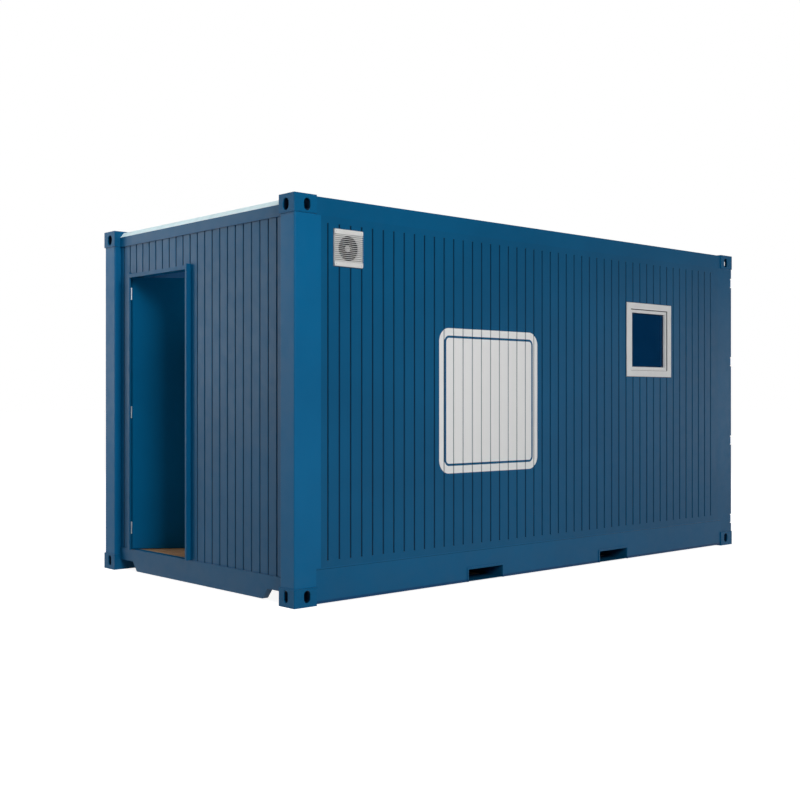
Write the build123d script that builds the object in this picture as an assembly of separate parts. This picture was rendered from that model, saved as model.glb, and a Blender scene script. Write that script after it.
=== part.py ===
"""A 16 ft shipping container cabin.

A steel frame with corner castings carries grooved outer sheets over insulated walls.
One end has a personnel doorway, one long side a window and a fan vent, the far end
double cargo doors.  Millimetres; the origin is on the ground under the middle, +Z up,
the personnel door looks along -X and the window side looks along -Y.  Places are given
from the near corner of the door end: u along the length, v along the width.
"""
import math
import os

from build123d import *

# Overall size, over the corner castings
length = 4920
width = 2438
height = 2591

# Corner castings
casting_length = 178
casting_width = 162
casting_height = 118
casting_wall_thickness = 28
casting_edge_radius = 5
aperture_from_end = 101.5
aperture_from_side = 89
aperture_from_face = 66
aperture_long = 124.5
aperture_short = 63.5
side_hole_width = 51
end_hole_width_top = 63.5
end_hole_width_bottom = 44
wall_hole_height = 79

# Planes of the walls, from the faces of the castings
side_inset = 7
door_post_inset = 7
cargo_post_inset = 20
end_rail_inset = 50
end_sheet_inset = 58
skin_zone_depth = 8
wall_core_thickness = 90
plate_thickness = 6
sheet_thickness = 2

# Corner posts
post_face_width = 149
post_flange_width = 38
post_edge_radius = 8
cargo_post_edge_radius = 2
post_nose_inset = 3
post_nose_width = 38
post_nose_edge_radius = 3

# Levels
rail_bottom = 10
bottom_rail_top = 235
floor_top = 170
deck_thickness = 28
top_rail_drop = 8
top_rail_height = 116
end_rail_drop = 48
end_rail_height = 74
roof_drop = 11
ceiling_thickness = 70

# Rails and floor members
side_rail_flange_width = 60
top_rail_depth = 60
end_rail_depth = 60
bottom_end_rail_depth = 47
bottom_end_rail_edge = 80
bottom_end_slant_outer = 355
bottom_end_slant_inner = 412
cargo_sill_bottom = 40
member_width = 45
member_pitch = 450
nosing_width = 8

# Fork pockets
pocket_width = 354
pocket_spacing = 1482
pocket_top = 97
pocket_strap_width = 200
pocket_strap_thickness = 4
pocket_lip_width = 12
pocket_lip_proud = 5

# Grooves pressed into the sheets
groove_pitch = 93.8
groove_mouth_width = 15
groove_floor_width = 7
groove_depth = 6
side_groove_shift = -29
side_groove_end = 42
groove_margin = 30
end_groove_shift = -19

# Roof
roof_sheet_thickness = 3
roof_rib_height = 6
roof_rib_width = 40
roof_rib_fold = 1
roof_bow_width = 40
roof_bow_count = 7
flashing_run_length = 30
flashing_thickness = 3
flashing_lap_length = 20

# Personnel doorway and its frame
door_clear_width = 781
door_from_plain_side = 352
door_head_drop = 372
frame_front_inset = 22
frame_bar_depth = 19
frame_head_height = 28
frame_upstand = 11
frame_metal_thickness = 4
hinge_bar_depth = 12
hinge_flange_lap = 10
leaf_latch_overlap = 7
leaf_latch_gap = 8
leaf_head_overlap = 6
leaf_head_gap = 6
leaf_gap = 5
leaf_thickness = 44
leaf_lip_thickness = 3
leaf_lip_gap = 1
leaf_edge_radius = 2
leaf_open_angle = 56

# Door hinges and handle
hinge_axis_from_opening = 14
hinge_axis_from_leaf_edge = 17
hinge_axis_from_jamb = 10
knuckle_radius = 6.5
pin_radius = 3.5
pin_clearance = 0.05
knuckle_gap = 0.5
hinge_height = 90
hinge_from_floor = 164
hinge_from_head = 119
hinge_middle_drop = 11
hinge_plate_thickness = 3
hinge_web_thickness = 6
handle_level = 1050
handle_from_latch_edge = 60
handle_plate_width = 38
handle_plate_height = 220
handle_plate_rise = 84
handle_plate_thickness = 8
handle_plate_radius = 15
handle_lock_drop = 73
handle_lock_length = 12
lever_radius = 9
lever_length = 125
lever_stand_off = 42

# Window
window_width = 611
window_height = 604
window_from_cargo_end = 937
window_drop = 496
window_proud = 8
window_flange_width = 50
window_body_width = 14
window_flange_radius = 3
sash_width = 30
sash_recess = 10
sash_depth = 48
glass_recess = 30
glass_thickness = 20
glass_rebate_depth = 6

# Fan vent
vent_size = 238
vent_from_end = 436.5
vent_drop = 317
vent_proud = 14
vent_band_height = 30
vent_corner_radius = 8
vent_edge_radius = 3
vent_backing_thickness = 3
slat_count = 14
slat_depth = 12
slat_thickness = 2.4
slat_angle = 24
fan_opening_radius = 80
duct_radius = 86
duct_wall_thickness = 5
blade_count = 7
blade_tip_radius = 79
blade_thickness = 2.5
blade_root_radius = 21
blade_width_root = 18
blade_width_tip = 33
blade_pitch_root = 50
blade_pitch_tip = 28
hub_radius = 26
hub_depth = 20
hub_edge_radius = 5
hub_setback = 5
motor_radius = 24
motor_depth = 42
motor_gap = 6
shaft_radius = 4
shaft_length = 18
shaft_end_gap = 2
strut_width = 7
strut_count = 4

# Cargo doors at the far end
cargo_leaf_inset = 52
cargo_leaf_thickness = 50
cargo_gasket_thickness = 4
cargo_gasket_recess = 4
cargo_leaf_frame_width = 70
cargo_panel_recess = 12
cargo_rib_count = 5
cargo_rib_width = 60
cargo_hinge_count = 4
cargo_hinge_from_floor = 61
cargo_hinge_from_head = 120
cargo_hinge_height = 64
cargo_hinge_space = 9
cargo_knuckle_radius = 7.5
cargo_knuckle_from_side = 16
cargo_blade_thickness = 8
cargo_blade_slant = 10
cargo_blade_reach = 70
lock_rod_radius = 13
lock_rod_inset = 34
lock_rod_offsets = (200, 620)
lock_rod_clearance = 0.3
lock_guide_height = 50
lock_guide_width = 56
lock_guide_count = 4
lock_guide_from_floor = 160
lock_guide_from_head = 219
lock_guide_wall_thickness = 6
lock_guide_edge_radius = 8
lock_cam_height = 60
lock_handle_above_guide = 180
lock_handle_length = 300
lock_handle_height = 28
lock_handle_thickness = 9
lock_handle_drop = 120
lock_collar_margin = 10
lock_collar_sink = 1

# Worked out from the sizes above
top_rail_top = height - top_rail_drop
top_rail_bottom = top_rail_top - top_rail_height
end_rail_top = height - end_rail_drop
end_rail_bottom = end_rail_top - end_rail_height
roof_top = height - roof_drop
door_clear_top = height - door_head_drop
door_from_side = width - door_from_plain_side - door_clear_width
window_from_end = length - window_from_cargo_end - window_width
window_bottom = height - window_drop - window_height
vent_level = height - vent_drop
wall_outer = side_inset + skin_zone_depth
wall_inner = wall_outer + wall_core_thickness
end_core_outer = end_sheet_inset + skin_zone_depth
end_wall_inner = end_core_outer + wall_core_thickness
post_edge = side_inset + post_face_width
sheet_edge = casting_length + post_flange_width
deck_bottom = floor_top - deck_thickness
post_bottom = casting_height
post_top = height - casting_height
end_rail_inner = end_rail_inset + end_rail_depth
bottom_rail_inner = end_rail_inset + bottom_end_rail_depth
ceiling_top = top_rail_bottom
ceiling_bottom = ceiling_top - ceiling_thickness
roof_sheet_top = roof_top - flashing_thickness
roof_sheet_bottom = roof_sheet_top - roof_sheet_thickness
door_latch_edge = door_from_side
door_hinge_edge = door_from_side + door_clear_width
leaf_latch_edge = door_latch_edge - leaf_latch_overlap
liner_latch = leaf_latch_edge - leaf_latch_gap
frame_latch_outer = liner_latch - frame_metal_thickness
leaf_top = door_clear_top + leaf_head_overlap
liner_head = leaf_top + leaf_head_gap
frame_top = liner_head + frame_metal_thickness
bar_top = door_clear_top + frame_head_height + frame_upstand
leaf_bottom = floor_top + leaf_gap
frame_back = frame_front_inset + frame_bar_depth
leaf_outer = frame_back + leaf_gap
leaf_inner = leaf_outer + leaf_thickness
leaf_skin_back = leaf_outer + leaf_lip_thickness
hinge_u = leaf_outer
hinge_v = door_hinge_edge + hinge_axis_from_opening
hinge_jamb = hinge_v + hinge_axis_from_jamb
leaf_hinge_edge = hinge_v - hinge_axis_from_leaf_edge
leaf_lip_edge = hinge_v - knuckle_radius - leaf_lip_gap
hinge_low = floor_top + hinge_from_floor
hinge_high = door_clear_top - hinge_from_head
hinge_levels = (hinge_low, (hinge_low + hinge_high) / 2 - hinge_middle_drop, hinge_high)
liner_hinge = hinge_v + leaf_thickness + leaf_head_gap
frame_hinge_outer = liner_hinge + frame_metal_thickness
cargo_leaf_inner = cargo_leaf_inset + cargo_leaf_thickness
pocket_edges = (
    (length - pocket_spacing - pocket_width) / 2,
    (length + pocket_spacing - pocket_width) / 2,
)


def block(u0, u1, v0, v1, z0, z1):
    """A box between two corners, placed from the near corner of the door end."""
    centre = Pos((u0 + u1 - length) / 2, (v0 + v1 - width) / 2, (z0 + z1) / 2)
    return centre * Box(u1 - u0, v1 - v0, z1 - z0)


def box_section(u0, u1, v0, v1, z0, z1, along_length):
    """A hollow rail with walls of the plate's thickness, open at its ends."""
    wall = plate_thickness
    du, dv = (0, wall) if along_length else (wall, 0)
    inside = block(u0 + du, u1 - du, v0 + dv, v1 - dv, z0 + wall, z1 - wall)
    return block(u0, u1, v0, v1, z0, z1) - inside


def across(part):
    """The same piece on the other long side."""
    return mirror(part, Plane.XZ)


def along(part):
    """The same piece at the other end."""
    return mirror(part, Plane.YZ)


def point(u, v, z):
    return Pos(u - length / 2, v - width / 2, z)


def plate_outline(points, v0, v1):
    """A plate with an outline of (u, z) points, from v0 to v1."""
    face = Plane.XZ * make_face(Polyline(*[(u - length / 2, z) for u, z in points], close=True))
    return Pos(0, v1 - width / 2, 0) * extrude(face, v1 - v0)


def end_outline(points, u0, u1):
    """A plate with an outline of (v, z) points, from u0 to u1."""
    face = Plane.YZ * make_face(Polyline(*[(v - width / 2, z) for v, z in points], close=True))
    return Pos(u0 - length / 2, 0, 0) * extrude(face, u1 - u0)


def upright(points, z0, z1):
    """A column with a plan of (u, v) points, from z0 to z1."""
    plan = make_face(Polyline(*[(u - length / 2, v - width / 2) for u, v in points], close=True))
    return Pos(0, 0, z0) * extrude(plan, z1 - z0)


def casting(end_hole_width):
    """A hollow corner casting at the near bottom corner, with its three apertures."""
    wall = casting_wall_thickness
    body = block(0, casting_length, 0, casting_width, 0, casting_height)
    outer_edge = body.edges().filter_by(Axis.Z).sort_by(Axis.X)[:2].sort_by(Axis.Y)[0]
    body = fillet(outer_edge, casting_edge_radius)
    inner = block(wall, casting_length - wall, wall, casting_width - wall, wall,
                  casting_height - wall)
    ground_hole = point(aperture_from_end, aperture_from_side, 0) * extrude(
        SlotOverall(aperture_long, aperture_short), wall)
    end_hole = point(0, aperture_from_side, aperture_from_face) * extrude(
        Plane.YZ * SlotOverall(wall_hole_height, end_hole_width, rotation=90), wall)
    side_hole = point(aperture_from_end, wall, aperture_from_face) * extrude(
        Plane.XZ * SlotOverall(wall_hole_height, side_hole_width, rotation=90), wall)
    return body - inner - ground_hole - end_hole - side_hole


def four_corners(part):
    return [part, across(part), along(part), across(along(part))]


def corner_castings_bottom():
    return four_corners(casting(end_hole_width_bottom))


def corner_castings_top():
    upper = Pos(0, 0, height) * mirror(casting(end_hole_width_top), Plane.XY)
    return four_corners(upper)


def corner_post(inset, rounding):
    """A hollow L-shaped post with a flange that the long side's sheet meets."""
    wall = plate_thickness
    plan = [
        (inset, side_inset),
        (casting_length, side_inset),
        (casting_length, wall_inner),
        (end_sheet_inset, wall_inner),
        (end_sheet_inset, post_edge),
        (inset, post_edge),
    ]
    body = upright(plan, post_bottom, post_top)
    corner_edges = body.edges().filter_by(Axis.Z).sort_by(Axis.X)[:2]
    body = fillet(corner_edges, rounding)
    body -= block(inset + wall, casting_length - wall, side_inset + wall, wall_inner - wall,
                  post_bottom, post_top)
    body -= block(inset + wall, end_sheet_inset - wall, wall_inner - wall, post_edge - wall,
                  post_bottom, post_top)
    flange = block(casting_length, sheet_edge, side_inset, wall_outer,
                   bottom_rail_top, top_rail_bottom)
    return body + flange


def door_end_posts():
    post = corner_post(door_post_inset, post_edge_radius)
    return [post, across(post)]


def cargo_hinge_levels():
    low = floor_top + cargo_hinge_from_floor
    high = end_rail_bottom - cargo_hinge_from_head
    return levels(low, high, cargo_hinge_count)


def cargo_end_posts():
    """Posts with a thick bar on the outer corner, cut away round each hinge of the doors."""
    nose = block(post_nose_inset, cargo_post_inset, side_inset, side_inset + post_nose_width,
                 post_bottom, post_top)
    nose = fillet(nose.edges().filter_by(Axis.Z).group_by(Axis.X)[0], post_nose_edge_radius)
    reach = cargo_hinge_height / 2 + cargo_hinge_space
    for level in cargo_hinge_levels():
        nose -= block(post_nose_inset, cargo_post_inset, side_inset, side_inset + post_nose_width,
                      level - reach, level + reach)
    post = along(corner_post(cargo_post_inset, cargo_post_edge_radius) + nose)
    return [post, across(post)]


def top_side_rails():
    rail = box_section(casting_length, length - casting_length, side_inset,
                       side_inset + top_rail_depth, top_rail_bottom, top_rail_top, True)
    return [rail, across(rail)]


def bottom_side_rails():
    """Angle rails, cut away at the fork pockets, with a thin lip welded round each mouth."""
    rail = block(casting_length, length - casting_length, side_inset, wall_outer,
                 rail_bottom, bottom_rail_top)
    rail += block(casting_length, length - casting_length, wall_outer,
                  side_inset + side_rail_flange_width, rail_bottom, rail_bottom + skin_zone_depth)
    for start in pocket_edges:
        rail -= block(start, start + pocket_width, side_inset, wall_outer, rail_bottom, pocket_top)
        rail -= block(start - plate_thickness, start + pocket_width + plate_thickness, wall_outer,
                      side_inset + side_rail_flange_width, rail_bottom, pocket_top)
        lip = block(start - pocket_lip_width, start + pocket_width + pocket_lip_width,
                    side_inset - pocket_lip_proud, side_inset, rail_bottom,
                    pocket_top + pocket_lip_width)
        rail += lip - block(start, start + pocket_width, side_inset - pocket_lip_proud, side_inset,
                            rail_bottom, pocket_top)
    return [rail, across(rail)]


def top_end_rail():
    return box_section(end_rail_inset, end_rail_inner, casting_width, width - casting_width,
                       end_rail_bottom, end_rail_top, False)


def door_end_bottom_rail():
    """A pressed rail, open at the back, that drops between the pockets of its ends."""
    def outline(inset):
        slant = bottom_end_slant_inner - bottom_end_slant_outer
        drop = bottom_end_rail_edge - rail_bottom
        shift = inset * (math.hypot(slant, drop) - slant) / drop
        left = [
            (casting_width + inset, floor_top - inset),
            (casting_width + inset, bottom_end_rail_edge + inset),
            (bottom_end_slant_outer + shift, bottom_end_rail_edge + inset),
            (bottom_end_slant_inner + shift, rail_bottom + inset),
        ]
        return left + [(width - v, z) for v, z in reversed(left)]
    wall = plate_thickness
    rail = end_outline(outline(0), end_rail_inset, bottom_rail_inner)
    return rail - end_outline(outline(wall), end_rail_inset + wall, bottom_rail_inner)


def cargo_end_sill():
    return along(box_section(end_rail_inset, end_rail_inner, casting_width, width - casting_width,
                             cargo_sill_bottom, floor_top, False))


def floor_cross_members():
    """Channels on the flanges of the side rails, none where a fork pocket runs."""
    top = deck_bottom
    bottom = rail_bottom + skin_zone_depth
    members = []
    count = int((length - 2 * casting_length) // member_pitch)
    pitch = (length - 2 * casting_length) / (count + 1)
    for i in range(1, count + 1):
        u = casting_length + i * pitch
        clear = member_width + plate_thickness
        if any(start - clear < u < start + pocket_width + clear for start in pocket_edges):
            continue
        member = block(u - member_width / 2, u + member_width / 2, wall_outer,
                       width - wall_outer, bottom, top)
        member -= block(u - member_width / 2 + plate_thickness, u + member_width / 2, wall_outer,
                        width - wall_outer, bottom + plate_thickness, top - plate_thickness)
        members.append(member)
    return members


def fork_pockets():
    """Two pockets across the floor: side plates up to the deck, a roof plate and end straps."""
    pockets = []
    near = wall_outer
    far = width - wall_outer
    for start in pocket_edges:
        end = start + pocket_width
        pocket = block(start - plate_thickness, start, near, far, rail_bottom, deck_bottom)
        pocket += block(end, end + plate_thickness, near, far, rail_bottom, deck_bottom)
        pocket += block(start, end, near, far, pocket_top, pocket_top + plate_thickness)
        for v in (near, far - pocket_strap_width):
            pocket += block(start, end, v, v + pocket_strap_width, rail_bottom,
                            rail_bottom + pocket_strap_thickness)
        pockets.append(pocket)
    return pockets


def floor_deck():
    deck = block(casting_length, length - casting_length, wall_outer, width - wall_outer,
                 deck_bottom, floor_top)
    deck += block(bottom_rail_inner + nosing_width, casting_length, wall_inner, width - wall_inner,
                  deck_bottom, floor_top)
    deck += block(length - casting_length, length - end_rail_inner, wall_inner,
                  width - wall_inner, deck_bottom, floor_top)
    return deck


def door_nosing():
    return block(bottom_rail_inner, bottom_rail_inner + nosing_width, wall_inner, width - wall_inner,
                 deck_bottom, floor_top)


def roof_sheet():
    """A sheet between the rails, with cross ribs pressed up for stiffness."""
    inner_side = side_inset + top_rail_depth
    start = end_rail_inset + flashing_run_length + flashing_lap_length
    roof = block(casting_length, length - casting_length, inner_side, width - inner_side,
                 roof_sheet_bottom, roof_sheet_top)
    roof += block(start, length - start, casting_width, width - casting_width,
                  roof_sheet_bottom, roof_sheet_top)
    pitch = (length - 2 * casting_length) / (roof_bow_count * 2)
    half = roof_rib_width / 2
    fold = roof_rib_height + roof_rib_fold
    wall = roof_sheet_thickness
    rib_top = roof_sheet_top + roof_rib_height
    inside_top = rib_top - sheet_thickness
    for i in range(1, roof_bow_count * 2):
        u = casting_length + i * pitch
        rib = plate_outline([
            (u - half, roof_sheet_top),
            (u - half + roof_rib_height, rib_top),
            (u + half - roof_rib_height, rib_top),
            (u + half, roof_sheet_top),
        ], casting_width, width - casting_width)
        inside = plate_outline([
            (u - half + wall, roof_sheet_bottom),
            (u - half + wall, roof_sheet_top - roof_rib_fold),
            (u - half + fold, inside_top),
            (u + half - fold, inside_top),
            (u + half - wall, roof_sheet_top - roof_rib_fold),
            (u + half - wall, roof_sheet_bottom),
        ], casting_width + wall, width - casting_width - wall)
        roof = roof + rib - inside
    return roof


def roof_end_flashings():
    """Sloped sheets from the end rails up to the roof, between the corner castings."""
    thick = flashing_thickness
    rise = roof_top - end_rail_top
    foot = end_rail_inset
    head = foot + flashing_run_length
    back = head + flashing_lap_length
    lean = thick * math.hypot(rise, flashing_run_length) / rise
    profile = [
        (foot, end_rail_top),
        (head, roof_top),
        (back + flashing_lap_length, roof_top),
        (back + flashing_lap_length, roof_sheet_top),
        (head + lean * thick / rise, roof_sheet_top),
        (foot + lean, end_rail_top),
    ]
    flashing = plate_outline(profile, casting_width, width - casting_width)
    return [flashing, along(flashing)]


def roof_bows():
    inner_side = side_inset + top_rail_depth
    pitch = (length - 2 * casting_length) / roof_bow_count
    bows = []
    for i in range(roof_bow_count):
        u = casting_length + (i + 0.5) * pitch
        bows.append(box_section(u - roof_bow_width / 2, u + roof_bow_width / 2, inner_side,
                                width - inner_side, ceiling_top, roof_sheet_bottom, False))
    return bows


def ceiling_panel():
    return block(end_wall_inner, length - end_rail_inner, wall_inner, width - wall_inner,
                 ceiling_bottom, ceiling_top)


def groove_section(centre, grow):
    """The trapezium of one groove, in a plan whose sheet has its outer face at y = 0."""
    half_mouth = groove_mouth_width / 2 + grow
    half_floor = groove_floor_width / 2 + grow
    depth = groove_depth + (sheet_thickness if grow else 0)
    return make_face(Polyline(
        (centre - half_mouth, 0),
        (centre + half_mouth, 0),
        (centre + half_floor, depth),
        (centre - half_floor, depth),
        close=True,
    ))


def grooved_sheet(low, high, bottom, top, centres, groove_bottom, groove_top):
    """An upright pressed sheet along X, its outer face on the plane y = 0, looking along -Y."""
    middle = Pos((low + high) / 2, sheet_thickness / 2, (bottom + top) / 2)
    panel = middle * Box(high - low, sheet_thickness, top - bottom)
    backs = Sketch() + [groove_section(c, sheet_thickness) for c in centres]
    mouths = Sketch() + [groove_section(c, 0) for c in centres]
    pressed_bottom = max(bottom, groove_bottom - sheet_thickness)
    pressed_top = min(top, groove_top + sheet_thickness)
    panel += Pos(0, 0, pressed_bottom) * extrude(backs, pressed_top - pressed_bottom)
    panel -= Pos(0, 0, groove_bottom) * extrude(mouths, groove_top - groove_bottom)
    return panel


def groove_centres(half, shift):
    """Grooves at the pitch across a sheet of that half width, shifted along it."""
    beside = int(2 * half / groove_pitch)
    centres = [shift + i * groove_pitch for i in range(-beside, beside + 1)]
    return [c for c in centres if abs(c) < half - groove_margin]


def levels(low, high, count):
    """Levels spread evenly from low to high."""
    return [low + i * (high - low) / (count - 1) for i in range(count)]


def side_sheet():
    """The near long side's sheet, before its window and vent are cut."""
    half = length / 2 - sheet_edge
    centres = groove_centres(half, side_groove_shift)
    panel = grooved_sheet(-half, half, bottom_rail_top, top_rail_bottom, centres,
                          bottom_rail_top + side_groove_end, top_rail_bottom - side_groove_end)
    return Pos(0, side_inset - width / 2, 0) * panel


def window_cut(grow, v0, v1):
    """The space inside the window's outer edge, grown outwards by grow."""
    return block(window_from_end - grow, window_from_end + window_width + grow, v0, v1,
                 window_bottom - grow, window_bottom + window_height + grow)


def along_v(radius, u, z, v0, v1):
    """A round bar across the wall, with its axis along the width."""
    bar = Plane.XZ * Circle(radius)
    return point(u, v1, z) * extrude(bar, v1 - v0)


def window_side_sheet():
    hole = window_cut(window_body_width - window_flange_width, 0, wall_inner)
    vent = along_v(duct_radius + duct_wall_thickness, vent_from_end, vent_level, 0, wall_inner)
    return side_sheet() - hole - vent


def window_side_wall():
    core = block(casting_length, length - casting_length, wall_outer, wall_inner,
                 floor_top, top_rail_bottom)
    hole = window_cut(window_body_width - window_flange_width, wall_outer, wall_inner)
    vent = along_v(duct_radius + duct_wall_thickness, vent_from_end, vent_level, wall_outer, wall_inner)
    return core - hole - vent


def plain_side_sheet():
    return across(side_sheet())


def plain_side_wall():
    return across(block(casting_length, length - casting_length, wall_outer, wall_inner,
                        floor_top, top_rail_bottom))


def door_end_sheet():
    """The grooved sheet of the door end, with the doorway cut out of it."""
    half = width / 2 - post_edge
    centres = [-c for c in groove_centres(half, end_groove_shift)]
    panel = grooved_sheet(-half, half, floor_top, end_rail_bottom, centres,
                          floor_top, end_rail_bottom)
    panel = Pos(end_sheet_inset - length / 2, 0, 0) * Rot(0, 0, -90) * panel
    return panel - block(0, end_wall_inner, frame_latch_outer, frame_hinge_outer,
                         floor_top, frame_top)


def door_end_wall_latch_side():
    return block(end_core_outer, end_wall_inner, wall_inner, frame_latch_outer,
                 floor_top, end_rail_bottom)


def door_end_wall_over_door():
    return block(end_core_outer, end_wall_inner, frame_latch_outer, frame_hinge_outer,
                 frame_top, end_rail_bottom)


def door_end_wall_hinge_side():
    return block(end_core_outer, end_wall_inner, frame_hinge_outer, width - wall_inner,
                 floor_top, end_rail_bottom)


def door_frame_jambs():
    """The latch jamb, and the hinge jamb folded round the pocket that the barrels stand in."""
    metal = frame_metal_thickness
    latch = block(frame_front_inset, frame_back, frame_latch_outer, door_latch_edge,
                  floor_top, bar_top)
    latch += block(frame_back, end_sheet_inset, frame_latch_outer, liner_latch,
                   floor_top, bar_top)
    latch += block(end_sheet_inset, end_wall_inner, frame_latch_outer, liner_latch,
                   floor_top, liner_head)
    pocket_front = frame_front_inset + hinge_bar_depth
    hinge = block(frame_front_inset, pocket_front, door_hinge_edge, hinge_jamb + metal,
                  floor_top, bar_top)
    hinge += block(pocket_front, end_sheet_inset, hinge_jamb, hinge_jamb + metal,
                   floor_top, bar_top)
    hinge += block(end_sheet_inset - metal, end_sheet_inset, hinge_jamb + metal,
                   frame_hinge_outer + hinge_flange_lap, floor_top, bar_top)
    hinge += block(end_sheet_inset, end_wall_inner, liner_hinge, frame_hinge_outer,
                   floor_top, liner_head)
    return [latch, hinge]


def door_frame_head():
    """The proud bar over the leaf, its top flange back to the sheet, and the liner."""
    metal = frame_metal_thickness
    top = door_clear_top + frame_head_height
    head = block(frame_front_inset, frame_back, door_latch_edge, door_hinge_edge,
                 door_clear_top, top)
    head += block(frame_back, end_sheet_inset, liner_latch, hinge_jamb, top - metal, top)
    head += block(frame_front_inset + hinge_bar_depth, frame_back, door_hinge_edge, hinge_jamb,
                  top - metal, top)
    head += block(end_sheet_inset - metal, end_sheet_inset, liner_latch, hinge_jamb,
                  liner_head, top - metal)
    head += block(end_sheet_inset - metal, end_wall_inner, liner_latch, hinge_jamb,
                  liner_head, frame_top)
    head += block(end_sheet_inset, end_wall_inner, frame_latch_outer, frame_hinge_outer,
                  liner_head, frame_top)
    return head


def swing(part):
    """Turn a piece of the closed door leaf inwards to the angle at which it stands."""
    turn = point(hinge_u, hinge_v, 0) * Rot(0, 0, leaf_open_angle) * point(hinge_u, hinge_v, 0).inverse()
    return turn * part


def door_leaf():
    """The leaf, its outer skin lapping on towards the barrels."""
    leaf = block(leaf_outer, leaf_inner, leaf_latch_edge, leaf_hinge_edge, leaf_bottom, leaf_top)
    leaf = fillet(leaf.edges().filter_by(Axis.Z), leaf_edge_radius)
    leaf += block(leaf_outer, leaf_skin_back, leaf_hinge_edge - leaf_edge_radius, leaf_lip_edge,
                  leaf_bottom, leaf_top)
    return swing(leaf)


def knuckle(z0, z1):
    """One barrel of a hinge on the door's axis."""
    return point(hinge_u, hinge_v, z0) * extrude(Circle(knuckle_radius), z1 - z0)


def door_frame_hinges():
    """The lower barrels with their pins, each on a web from the jamb."""
    pieces = []
    for level in hinge_levels:
        z0 = level - hinge_height / 2
        z1 = level + hinge_height / 2
        split = level - knuckle_gap / 2
        half = block(hinge_u - hinge_web_thickness / 2, hinge_u + hinge_web_thickness / 2,
                     hinge_v, hinge_jamb, z0, split)
        half += knuckle(z0, split)
        half += point(hinge_u, hinge_v, z0) * extrude(Circle(pin_radius), z1 - z0)
        pieces.append(half)
    return pieces


def door_leaf_hinges():
    """The upper barrels, each on a web behind the leaf's lip, from a plate on its edge."""
    bore = pin_radius + pin_clearance
    face = leaf_hinge_edge + hinge_plate_thickness
    pieces = []
    for level in hinge_levels:
        z0 = level - hinge_height / 2
        z1 = level + hinge_height / 2
        split = level + knuckle_gap / 2
        half = block(leaf_skin_back, leaf_inner, leaf_hinge_edge, face, z0, z1)
        half += block(leaf_skin_back, leaf_skin_back + hinge_plate_thickness, face, hinge_v,
                      split, z1)
        half += knuckle(split, z1)
        half -= point(hinge_u, hinge_v, split) * extrude(Circle(bore), z1 - split)
        pieces.append(swing(half))
    return pieces


def door_handles():
    """A lever on a long plate on each face of the leaf."""
    v = leaf_latch_edge + handle_from_latch_edge
    lock_level = handle_level - handle_lock_drop
    plate_top = handle_level + handle_plate_rise
    pieces = []
    for face, out in ((leaf_outer, -1), (leaf_inner, 1)):
        near = face
        far = face + out * handle_plate_thickness
        handle = block(min(near, far), max(near, far), v - handle_plate_width / 2,
                       v + handle_plate_width / 2, plate_top - handle_plate_height, plate_top)
        handle = fillet(handle.edges().filter_by(Axis.X), handle_plate_radius)
        neck = point(face, v, handle_level) * extrude(
            Plane.YZ * Circle(lever_radius), out * lever_stand_off)
        lever_middle = face + out * (lever_stand_off - lever_radius)
        lever = point(lever_middle, v - lever_radius, handle_level) * extrude(
            Plane.XZ * Circle(lever_radius), -lever_length)
        lock = point(face, v, lock_level) * extrude(
            Plane.YZ * Circle(lever_radius), out * handle_lock_length)
        pieces.append(swing(handle + neck + lever + lock))
    return pieces


def window_ring(outer, inner, v0, v1):
    """A ring round the window, its edges set in from the window's outer edge."""
    return window_cut(-outer, v0, v1) - window_cut(-inner, v0, v1)


def window_frame():
    front = side_inset - window_proud
    flange = window_cut(0, front, side_inset)
    flange = fillet(flange.edges().group_by(Axis.Y)[0], window_flange_radius)
    flange -= window_cut(-window_flange_width, front, side_inset)
    body_edge = window_flange_width - window_body_width
    return flange + window_ring(body_edge, window_flange_width, side_inset, wall_inner)


def window_sash():
    """The fixed sash, with a rebate that the glass sits in."""
    front = side_inset - window_proud + sash_recess
    back = front + sash_depth
    inner = window_flange_width + sash_width
    glass_front = side_inset - window_proud + glass_recess
    sash = window_ring(window_flange_width, inner, front, back)
    return sash - window_cut(glass_rebate_depth - inner, glass_front, glass_front + glass_thickness)


def window_glass():
    glass_front = side_inset - window_proud + glass_recess
    return window_cut(glass_rebate_depth - window_flange_width - sash_width, glass_front,
                      glass_front + glass_thickness)


def vent_grille():
    """The moulded cover of the fan: a round-holed plate, bands and open-ended slats before it."""
    half = vent_size / 2
    front = side_inset - vent_proud
    backing = side_inset - vent_backing_thickness
    window = half - vent_band_height
    cover = block(vent_from_end - half, vent_from_end + half, front, side_inset,
                  vent_level - half, vent_level + half)
    cover = fillet(cover.edges().filter_by(Axis.Y), vent_corner_radius)
    cover = fillet(cover.edges().group_by(Axis.Y)[0], vent_edge_radius)
    cover -= block(vent_from_end - half, vent_from_end + half, front, backing,
                   vent_level - window, vent_level + window)
    cover -= along_v(fan_opening_radius, vent_from_end, vent_level, front, side_inset)
    pitch = 2 * window / slat_count
    middle = (front + backing) / 2
    for i in range(slat_count):
        z = vent_level - window + (i + 0.5) * pitch
        slat = Rot(slat_angle, 0, 0) * Box(vent_size, slat_depth, slat_thickness)
        cover += point(vent_from_end, middle, z) * slat
    return cover


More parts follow.
